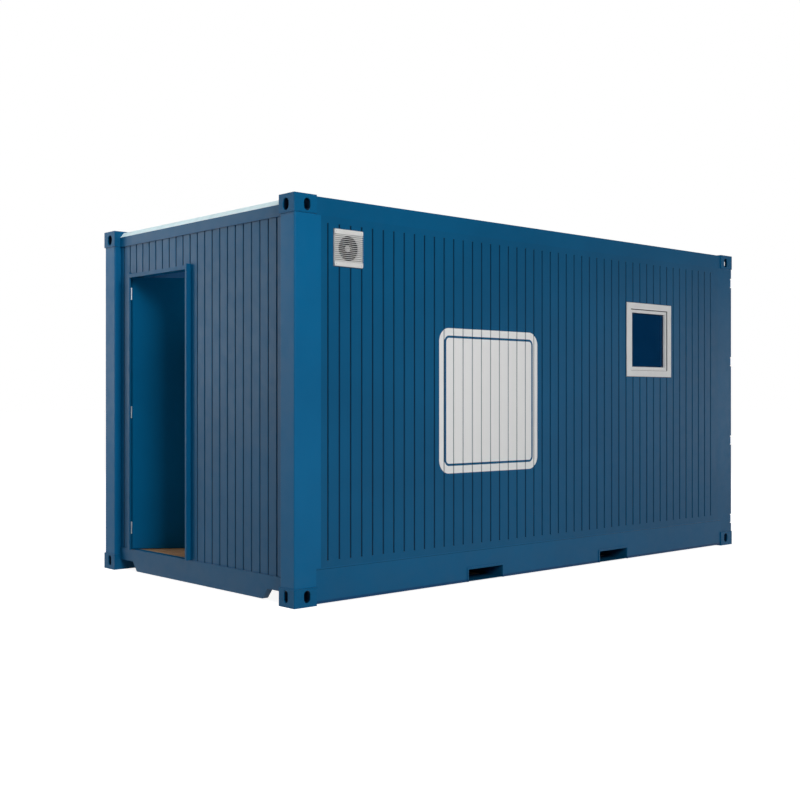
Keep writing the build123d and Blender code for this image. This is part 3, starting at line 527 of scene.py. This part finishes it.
def plywood():
    """Oiled plywood: long grain, and joints between boards across and along the floor."""
    look = Look("oiled_plywood", Specular_IOR_Level=0.35)
    rings = look.noise(5.0, 6.0, 0.62, look.stretched((1.2, 14.0, 14.0)))
    pores = look.noise(60.0, 3.0, 0.6, look.stretched((0.8, 12.0, 12.0)))
    stops = ((0.30, PLY_DARK), (0.48, PLY_MIDDLE), (0.66, PLY_LIGHT))
    colour = look.node("ShaderNodeValToRGB", {"stops": stops}, [rings])
    colour = look.blend(look.ramp(pores, 0.55, 0.75, 0.0, 0.55), colour, PLY_PORES)
    x, y = look.axes("XY")
    from_joint = look.maths("PINGPONG", x + PLY_SHIFT, PLY_BOARD / 2)
    gaps = look.larger(look.edge(from_joint, PLY_JOINT_HALF, 1.0, 0.0),
                       look.edge(abs(y), PLY_JOINT_HALF, 1.0, 0.0))
    colour = look.blend(gaps, colour, PLY_JOINT)
    return look.coat(colour, rings, (0.45, 0.62), 0.6, rings * 0.3 + pores * 0.3 - gaps * 3.0)


def galvanised():
    """Hot-dipped zinc with its spangle."""
    look = Look("galvanised_steel", Metallic=0.85)
    spangle = look.node("ShaderNodeTexVoronoi", {"feature": "F1"},
                        {"Vector": look.place(), "Scale": 90.0}, output="Color")
    tone = look.node("ShaderNodeSeparateColor", None, [spangle])
    colour = look.blend(tone, SPANGLE_DARK, SPANGLE_LIGHT)
    dirt = look.ramp(look.noise(7.0, 5.0, 0.65), 0.50, 0.72, 0.0, 0.5)
    look.set("Base Color", look.blend(dirt, colour, ZINC_DIRT))
    look.set("Roughness", tone * 0.18 + 0.36)
    look.bump(look.noise(200.0, 3.0, 0.6), 0.2)
    return look.material


def bright_metal(name, tone, rough, brush):
    """Zinc plate or anodised metal with a fine brushed line."""
    look = Look(name, Metallic=1.0)
    line = look.noise(700.0, 3.0, 0.6, look.stretched(brush))
    colour = look.blend(look.ramp(line, 0.3, 0.7), tone, toned(tone, 0.82))
    return look.coat(colour, line, (rough, rough + 0.12), 0.08)


def moulded_plastic(name, tone, rough):
    """Moulded plastic with a fine matt grain, a little greyer in patches."""
    look = Look(name, Specular_IOR_Level=0.45)
    grain = look.noise(1100.0, 2.0, 0.5)
    patch = look.noise(9.0, 4.0, 0.6)
    colour = look.blend(look.ramp(patch, 0.35, 0.75, 0.0, 0.6), tone, toned(tone, 0.90))
    return look.coat(colour, grain, (rough, rough + 0.10), 0.08)


def from_fan_axis(look, x, z):
    """Distance from the fan's axis, in metres."""
    centre = at(FAN_U, 0, FAN_Z)
    return look.length(x - centre.x, z - centre.z)


def vent_plastic():
    """The grille's light plastic, with dust on the bands, slat fronts lightened by painted
    light and darker over the fan's opening, and painted shade behind them, near black over the
    fan.
    """
    look = Look("vent_plastic", Specular_IOR_Level=0.35)
    grain = look.noise(1100.0, 2.0, 0.5)
    x, y, z = look.axes()
    # Parts of the grille deep behind the slat fronts get painted shade
    behind = look.edge(y - at(0, VENT_FRONT, 0).y, SLOT_SHADE_DEPTH)
    dust = look.ramp(look.noise(40.0, 5.0, 0.7), 0.35, 0.75, 0.0, 0.35)
    slats = look.edge(abs(z - at(0, 0, FAN_Z).z), SLATS_HALF, 1.0, 0.0)
    radius = from_fan_axis(look, x, z)
    over_fan = look.edge(radius, FAN_OPENING_RADIUS, 1.0, 0.0) * look.edge(radius, HUB_SHADE_RADIUS)
    # Slat fronts are a lighter copy of the bands' plastic, painted light, and darker over the
    # fan's opening
    front = look.blend(slats, look.blend(dust, BAND_LIGHT, BAND_DUSTY),
                       look.blend(over_fan, SLAT_PAINTED_LIGHT, SLAT_OVER_FAN))
    # Deep parts get painted shade: light behind the slats, near black over the fan
    colour = look.blend(behind, front, look.blend(over_fan, SLOT_SHADE, SLOT_SHADE_OVER_FAN))
    return look.coat(colour, grain, (0.38, 0.48), 0.08)


def rotor_plastic():
    """Dark blades with a light cap on the hub."""
    look = Look("rotor_plastic", Specular_IOR_Level=0.4)
    grain = look.noise(900.0, 2.0, 0.5)
    x, z = look.axes("XZ")
    blades = look.blend(look.ramp(grain, 0.3, 0.7), ROTOR_BLACK, ROTOR_GRAIN)
    cap = look.edge(from_fan_axis(look, x, z), HUB_CAP_RADIUS, 1.0, 0.0)
    return look.coat(look.blend(cap, blades, HUB_CAP), grain, (0.42, 0.55), 0.08)


def roof_coat_and_sheen():
    """Pale coated roof steel, chalky, with rain marks across it; its pale cyan is partly the
    coating's colour and partly a painted reflection of bright light from behind.
    """
    look = Look("pale_roof_paint", Specular_IOR_Level=0.4)
    marks = look.noise(3.0, 6.0, 0.65, look.stretched((1.0, 6.0, 1.0)))
    # The pale cyan is partly the coating and partly a painted reflection
    colour = look.blend(look.ramp(marks, 0.35, 0.75), ROOF_PALE_AND_SHEEN, ROOF_MARKS)
    return look.coat(colour, marks, (0.38, 0.55), 0.1, look.noise(160.0, 3.0, 0.6))


def rubber(name, tone):
    """Matt rubber or sealant with a fine grain."""
    look = Look(name, Specular_IOR_Level=0.4)
    grain = look.noise(500.0, 3.0, 0.6)
    colour = look.blend(look.ramp(grain, 0.3, 0.7), tone, toned(tone, 2.2))
    return look.coat(colour, grain, (0.55, 0.75), 0.1)


def glazing():
    """Double glazing whose dark navy colour paints the shade of the room behind, with a
    little of the real room showing through.
    """
    look = Look("window_glazing", Specular_IOR_Level=0.05, Alpha=0.80)
    film = look.noise(6.0, 4.0, 0.6)
    # The dark navy colour paints the shade of the room behind the glass
    look.set("Base Color", look.blend(look.ramp(film, 0.35, 0.7), GLASS_ROOM_SHADE, GLASS_ROOM_SHADE_PATCH))
    look.set("Roughness", look.ramp(film, 0.3, 0.7, 0.03, 0.09))
    return look.material


SIDE_PLANE = at(0, SIDE_FACE, 0).y
END_PLANE = at(END_SHEET, 0, 0).x
paint = blue_paint("blue_paint", tone=1.06, gloss=0.15)
window_sheet_paint = blue_paint("blue_window_sheet_paint", (1, SIDE_PLANE, 1), light_field=True,
                                gloss=0.16)
plain_sheet_paint = blue_paint("blue_plain_sheet_paint", (1, -SIDE_PLANE, -1))
end_sheet_paint = blue_paint("blue_end_sheet_paint", (0, END_PLANE, 1), gloss=0.215)
end_rail_paint = blue_paint("blue_end_rail_paint", gloss=0.20)
side_rail_paint = blue_paint("blue_side_rail_paint", tone=1.13, gloss=0.17, foot_shade=True)
# A lighter copy of the blue paint on the leaf, painting extra light onto it
leaf_painted_light = blue_paint("blue_leaf_paint", tone=1.28, gloss=0.03)
post_paint = blue_paint("blue_post_paint", tone=1.38, gloss=0.165)
# A darker copy of the blue paint for the fork pockets, painting the shade inside them
pocket_painted_shade = blue_paint("blue_pocket_paint", tone=0.75, gloss=0.05)
# A darker copy of the blue paint for the rail seams, painting the shade line at the joint
seam_painted_shade = blue_paint("blue_seam_paint", tone=0.62, gloss=0.12)
# A much lighter copy of the blue paint on the cargo doors' hinges, painting the highlight they
# catch from behind
hinge_painted_highlight = blue_paint("blue_hinge_paint", tone=2.2, gloss=0.20)
casting = cast_paint()
board = lining()
floor_board = plywood()
zinc_coat = galvanised()
zinc = bright_metal("zinc_plate", ZINC_PLATE, 0.28, (1.0, 1.0, 0.1))
satin = bright_metal("satin_handle", SATIN_METAL, 0.30, (0.1, 1.0, 1.0))
window_plastic = moulded_plastic("window_plastic", WINDOW_WHITE, 0.38)
dark_plastic = moulded_plastic("dark_plastic", DUCT_BLACK, 0.45)
grille_plastic = vent_plastic()
rotor = rotor_plastic()
roof = roof_coat_and_sheen()
black_rubber = rubber("black_rubber", RUBBER_BLACK)
sealant = rubber("grey_sealant", SEALANT_GREY)
glass = glazing()

DRESS = {
    "corner_castings_bottom": casting,
    "corner_castings_top": casting,
    "door_end_posts": post_paint,
    "cargo_end_posts": paint,
    "top_side_rails": paint,
    "bottom_side_rails": side_rail_paint,
    "door_end_top_rail": end_rail_paint,
    "cargo_end_header": paint,
    "door_end_bottom_rail": end_rail_paint,
    "cargo_end_sill": paint,
    "floor_cross_members": zinc_coat,
    "fork_pockets": pocket_painted_shade,
    "floor_deck": floor_board,
    "door_nosing": satin,
    "roof_sheet": roof,
    "roof_end_flashings": roof,
    "roof_bows": zinc_coat,
    "ceiling_panel": board,
    "window_side_sheet": window_sheet_paint,
    "window_side_wall": board,
    "plain_side_sheet": plain_sheet_paint,
    "plain_side_wall": board,
    "door_end_sheet": end_sheet_paint,
    "door_end_wall_latch_side": board,
    "door_end_wall_over_door": board,
    "door_end_wall_hinge_side": board,
    "door_frame_jambs": paint,
    "door_frame_head": paint,
    "door_frame_hinges": zinc,
    "door_leaf": leaf_painted_light,
    "door_leaf_hinges": zinc,
    "door_handles": satin,
    "window_frame": window_plastic,
    "window_sash": window_plastic,
    "window_glass": glass,
    "vent_grille": grille_plastic,
    "fan_duct": dark_plastic,
    "fan_rotor": rotor,
    "cargo_door_window_side": paint,
    "cargo_door_plain_side": paint,
    "cargo_door_gasket": black_rubber,
    "cargo_door_hinges": hinge_painted_highlight,
    "cargo_lock_rods": zinc,
    "cargo_lock_guides": paint,
    "cargo_lock_handles": zinc,
}
for name, finish in DRESS.items():
    data = nodes[name].data
    data.materials.clear()
    data.materials.append(finish)


# Added pieces

def window_seals(mesh):
    """The dark seal of the sash, with black strips wider along its top and right that paint
    the shade on the sash's reveal, and the glazing gasket.
    """
    front, back = SASH_FRONT - 2.5, SASH_FRONT + 1
    left, right = WINDOW_U[0] + WINDOW_FLANGE, WINDOW_U[1] - WINDOW_FLANGE
    low, top = WINDOW_Z[0] + WINDOW_FLANGE, WINDOW_Z[1] - WINDOW_FLANGE
    add_surround(mesh, WINDOW_U, WINDOW_Z, WINDOW_FLANGE - 1, WINDOW_FLANGE + 2,
                 SASH_FRONT - 2, back)
    # Wider black strips along the top and right paint the shade on the sash's reveal
    add_block(mesh, (left, front, top - SASH_SHADE_STRIP), (right, back, top + 1))
    add_block(mesh, (right - SASH_SHADE_STRIP, front, low), (right + 1, back, top - SASH_SHADE_STRIP))
    inner = WINDOW_FLANGE + SASH_WIDTH
    add_surround(mesh, WINDOW_U, WINDOW_Z, inner - 2, inner + 3, GLASS_FRONT - 4,
                 GLASS_FRONT + 1, 1.0)


def window_bead(mesh):
    """Sealant where the frame's flange meets the sheet."""
    add_surround(mesh, WINDOW_U, WINDOW_Z, -3, 2, SIDE_FACE - 2.5, SIDE_FACE + 1, 1.2)


def vent_bead(mesh):
    """Sealant where the vent's cover meets the sheet."""
    add_surround(mesh, VENT_U, VENT_Z, -2.5, 2, SIDE_FACE - 2, SIDE_FACE + 1, 1.0)


def vent_screws(mesh):
    """One screw in each corner of the vent's cover."""
    for u in (VENT_U[0] + VENT_SCREW_IN, VENT_U[1] - VENT_SCREW_IN):
        for z in (VENT_Z[0] + VENT_SCREW_IN, VENT_Z[1] - VENT_SCREW_IN):
            add_screw(mesh, (u, VENT_FRONT + 0.5, z), (0, -1, 0), 4.5, 2.5)


def door_stop_seals(mesh):
    """The rubber that the closed leaf presses on, on the latch jamb's bar and the head's."""
    front, back = FRAME_BACK - 1, FRAME_BACK + 3.5
    add_block(mesh, (front, DOOR_LATCH_EDGE - 6.5, FLOOR_TOP + 6),
              (back, DOOR_LATCH_EDGE - 1, DOOR_CLEAR_TOP - 1), 1.0)
    add_block(mesh, (front, DOOR_LATCH_EDGE - 1, DOOR_CLEAR_TOP + 0.5),
              (back, DOOR_HINGE_EDGE + 2, DOOR_CLEAR_TOP + 5.5), 1.0)


def leaf_wiper(mesh):
    """A rubber wiper under the leaf."""
    add_block(mesh, (LEAF_OUTER + 8, LEAF_LATCH_EDGE + 4, LEAF_BOTTOM - 3),
              (LEAF_OUTER + 16, LEAF_HINGE_EDGE - 4, LEAF_BOTTOM + 1), 0.8)


def lock_plate(mesh):
    """The lock's plate and bolt in the latch edge, and the screws of both handle plates."""
    middle = (LEAF_OUTER + LEAF_INNER) / 2
    plate_face = LEAF_LATCH_EDGE - 1.5
    for step in (-142, 67):
        add_screw(mesh, (middle, plate_face, HANDLE_LEVEL + step), (0, -1, 0), 3.5, 1.2)
    for face, out in ((LEAF_OUTER, -1), (LEAF_INNER, 1)):
        for step in (-122, 70):
            place = (face + out * 8, HANDLE_V, HANDLE_LEVEL + step)
            add_screw(mesh, place, (out, 0, 0), 3.5, 1.6)
    add_block(mesh, (middle - 11, plate_face, HANDLE_LEVEL - 150),
              (middle + 11, LEAF_LATCH_EDGE + 1, HANDLE_LEVEL + 75), 0.6)
    add_block(mesh, (middle - 6, LEAF_LATCH_EDGE - 4.5, HANDLE_LEVEL - 10),
              (middle + 6, LEAF_LATCH_EDGE, HANDLE_LEVEL + 14), 1.5)


def leaf_hinge_screws(mesh):
    """Three screws in the hinge edge of the leaf at each hinge."""
    for level in HINGE_LEVELS:
        for step in (-30, 0, 30):
            place = (LEAF_OUTER + 30, LEAF_HINGE_EDGE + 3, level + step)
            add_screw(mesh, place, (0, 1, 0), 4, 1.2)


def strike_plate(mesh):
    """The latch plate on the inside of the latch jamb."""
    face = LATCH_JAMB_FACE + 1.5
    for step in (-58, 58):
        add_screw(mesh, (FRAME_BACK + 21, face, HANDLE_LEVEL + step), (0, 1, 0), 3.5, 1.2)
    add_block(mesh, (FRAME_BACK + 6, LATCH_JAMB_FACE - 0.5, HANDLE_LEVEL - 70),
              (FRAME_BACK + 36, face, HANDLE_LEVEL + 70), 0.6)


def weld_seams(mesh):
    """Beads where the posts are welded to the corner castings, on both outer faces."""
    side, end = SIDE_FACE + 1, CASTING[1] - SIDE_FACE
    for flip_u, post_face in ((False, DOOR_POST_FACE), (True, CARGO_POST_FACE)):
        seams = (((post_face + 9, side), (CASTING[0] - 1, side)),
                 ((post_face + 1, SIDE_FACE + 9), (post_face + 1, end)))
        for flip_v in (False, True):
            for z in (CASTING[2], HEIGHT - CASTING[2]):
                for seam in seams:
                    ends = [(from_end(LENGTH, u, flip_u), from_end(WIDTH, v, flip_v), z)
                            for u, v in seam]
                    add_bead(mesh, *ends, 1.8)


def rail_seams(mesh):
    """Thin seams where the side sheets meet the rails below them, in a darker copy of the
    blue paint that paints the shade line at the joint.
    """
    level = BOTTOM_RAIL_TOP - 9
    for v in (SIDE_FACE + 0.6, WIDTH - SIDE_FACE - 0.6):
        add_bead(mesh, (CASTING[0], v, level), (LENGTH - CASTING[0], v, level), 1.6)


def lining_strips(mesh):
    """Cover strips over the joints of the lining boards, and a skirting."""
    skirting_top = FLOOR_TOP + SKIRTING
    skirting_ends = (END_WALL_INNER + 6, LENGTH - CARGO_LEAF_INNER - 20)
    far_wall = WIDTH - WALL_INNER
    for v0, v1 in ((WALL_INNER, WALL_INNER + STRIP_THICK), (far_wall - STRIP_THICK, far_wall)):
        for i in range(1, 4):
            u = i * LINING_BOARD
            add_block(mesh, (u - STRIP_HALF, v0, skirting_top),
                      (u + STRIP_HALF, v1, CEILING_BOTTOM), 1.0)
        add_block(mesh, (skirting_ends[0], v0, FLOOR_TOP), (skirting_ends[1], v1, skirting_top),
                  1.0)


def floor_screws(mesh):
    """The sunk screws of the floor, in rows across it."""
    for i in range(FLOOR_SCREW_COUNT[0]):
        for j in range(FLOOR_SCREW_COUNT[1]):
            u = FLOOR_SCREW_START[0] + i * FLOOR_SCREW_STEP[0]
            v = FLOOR_SCREW_START[1] + j * FLOOR_SCREW_STEP[1]
            add_screw(mesh, (u, v, FLOOR_TOP - 1.6), (0, 0, 1), 6, 2.0, 10)


def cargo_bolts(mesh):
    """Bolt heads on the hinge blades and the rod guides of the far doors."""
    blade_face = LENGTH - CARGO_LEAF_OUTER + CARGO_BLADE
    guide_face = LENGTH - LOCK_ROD_INSET + LOCK_GUIDE_REACH
    for flip in (False, True):
        v = from_end(WIDTH, CARGO_LEAF_EDGE + CARGO_BLADE_BOLT, flip)
        for z in CARGO_HINGE_LEVELS:
            for step in (-18, 18):
                add_screw(mesh, (blade_face, v, z + step), (1, 0, 0), 8, 5)
        for offset in LOCK_ROD_OFFSETS:
            for z in LOCK_GUIDE_LEVELS:
                for step in (-20, 20):
                    v = from_end(WIDTH, CARGO_LEAF_EDGE + offset + step, flip)
                    add_screw(mesh, (guide_face, v, z), (1, 0, 0), 5, 3)


piece("window_seals", window_seals, black_rubber)
piece("window_bead", window_bead, sealant)
piece("vent_screws", vent_screws, zinc)
piece("vent_bead", vent_bead, sealant)
piece("door_stop_seals", door_stop_seals, black_rubber)
piece("leaf_wiper", leaf_wiper, black_rubber, body="door")
piece("lock_plate", lock_plate, satin, body="door")
piece("leaf_hinge_screws", leaf_hinge_screws, zinc, body="door")
piece("strike_plate", strike_plate, satin)
piece("weld_seams", weld_seams, paint, smooth=True)
piece("rail_seams", rail_seams, seam_painted_shade, smooth=True)
piece("lining_strips", lining_strips, board)
piece("floor_screws", floor_screws, zinc)
piece("cargo_bolts", cargo_bolts, zinc)


# Floor, surround, lamps and camera, in metres, degrees and watts

FLOOR_REACH = 120.0
FLOOR_GLOW = 0.91
WORLD_LIGHT = 0.05
MIRRORED_LIGHT = 0.08
CAMERA_PLACE = (-6.842, -7.042, 1.298)
CAMERA_TURN = -42.123
CAMERA_LENS = 52.695


def pale_floor():
    """A pale floor that the camera, mirrors and glass see lighter than it shines.

    The glow fades out a little way in under the cabin, so that the floor keeps its shade."""
    mesh = bmesh.new()
    bmesh.ops.create_grid(mesh, x_segments=1, y_segments=1, size=FLOOR_REACH)
    look = Look("pale_floor", Base_Color=FLOOR_GREY, Roughness=0.9, Specular_IOR_Level=0.1,
                Emission_Strength=1.0)
    seen = look.larger(look.ray("Camera"),
                       look.larger(look.ray("Glossy"), look.ray("Transmission")))
    x, y = look.axes("XY")
    from_ends = LENGTH / 2 * MM - abs(x)
    from_sides = WIDTH / 2 * MM - abs(y)
    open_floor = look.larger(look.edge(from_ends, END_SHADE_IN, 1.0, 0.0),
                             look.edge(from_sides, SIDE_SHADE_IN, 1.0, 0.0))
    look.set("Emission Color", seen * open_floor * FLOOR_GLOW)
    mesh_object("floor", mesh, look.material)


def white_surround():
    """A world that the camera and glass see white, and that shines only faintly."""
    world = bpy.data.worlds.new("studio")
    bpy.context.scene.world = world
    sky = Wiring(world)
    seen = sky.larger(sky.ray("Camera"), sky.ray("Transmission"))
    faint = sky.ramp(sky.ray("Glossy"), 0.0, 1.0, WORLD_LIGHT, MIRRORED_LIGHT)
    light = sky.node("ShaderNodeBackground", None,
                     {"Color": WHITE, "Strength": sky.larger(seen, faint)})
    sky.node("ShaderNodeOutputWorld", None, {"Surface": light})


def soft_lamp(name, place, target, size, watts, spread=180.0):
    """A rectangular lamp at a place, turned towards a target, in metres."""
    data = bpy.data.lights.new(name, "AREA")
    data.shape = "RECTANGLE"
    data.size, data.size_y = size
    data.energy = watts
    data.spread = math.radians(spread)
    lamp = put_in_scene(name, data)
    lamp.location = place
    lamp.rotation_mode = "QUATERNION"
    lamp.rotation_quaternion = (Vector(target) - Vector(place)).to_track_quat("-Z", "Y")


def overhead_light():
    """A weak, wide light from straight above."""
    data = bpy.data.lights.new("overhead", "SUN")
    data.energy = 0.5
    data.angle = math.radians(40.0)
    put_in_scene("overhead", data)


def add_camera():
    """The photo's view, as fitted to the castings, posts and rails."""
    data = bpy.data.cameras.new("camera")
    data.sensor_width = 36.0
    data.lens = CAMERA_LENS
    data.clip_start = 0.05
    data.clip_end = 500.0
    camera = put_in_scene("camera", data)
    camera.location = CAMERA_PLACE
    camera.rotation_euler = (math.radians(90.0), 0.0, math.radians(CAMERA_TURN))
    bpy.context.scene.camera = camera


pale_floor()
white_surround()
soft_lamp("key", (-4.2, -9.0, 5.0), (-1.5, -1.2, 1.2), (3.0, 3.0), 478.0)
soft_lamp("end_top", (-3.6, 0.6, 4.6), (-2.5, 0.0, 1.8), (2.0, 2.0), 38.0)
soft_lamp("end_panel", (-6.9, 7.0, 2.9), (-2.46, 0.0, 1.5), (5.0, 4.2), 172.0)
soft_lamp("far_panel", (11.0, -4.4, 1.6), (2.0, -1.2, 1.4), (5.5, 3.0), 104.0)
soft_lamp("back_panel", (7.5, 9.0, 3.2), (0.8, 1.0, 1.3), (6.0, 3.5), 320.0)
soft_lamp("room_lamp", (-1.45, 0.1, 1.85), (-2.05, 1.1, 2.30), (0.4, 0.3), 1.6, 70.0)
overhead_light()
add_camera()
bpy.context.scene.view_settings.view_transform = "Standard"
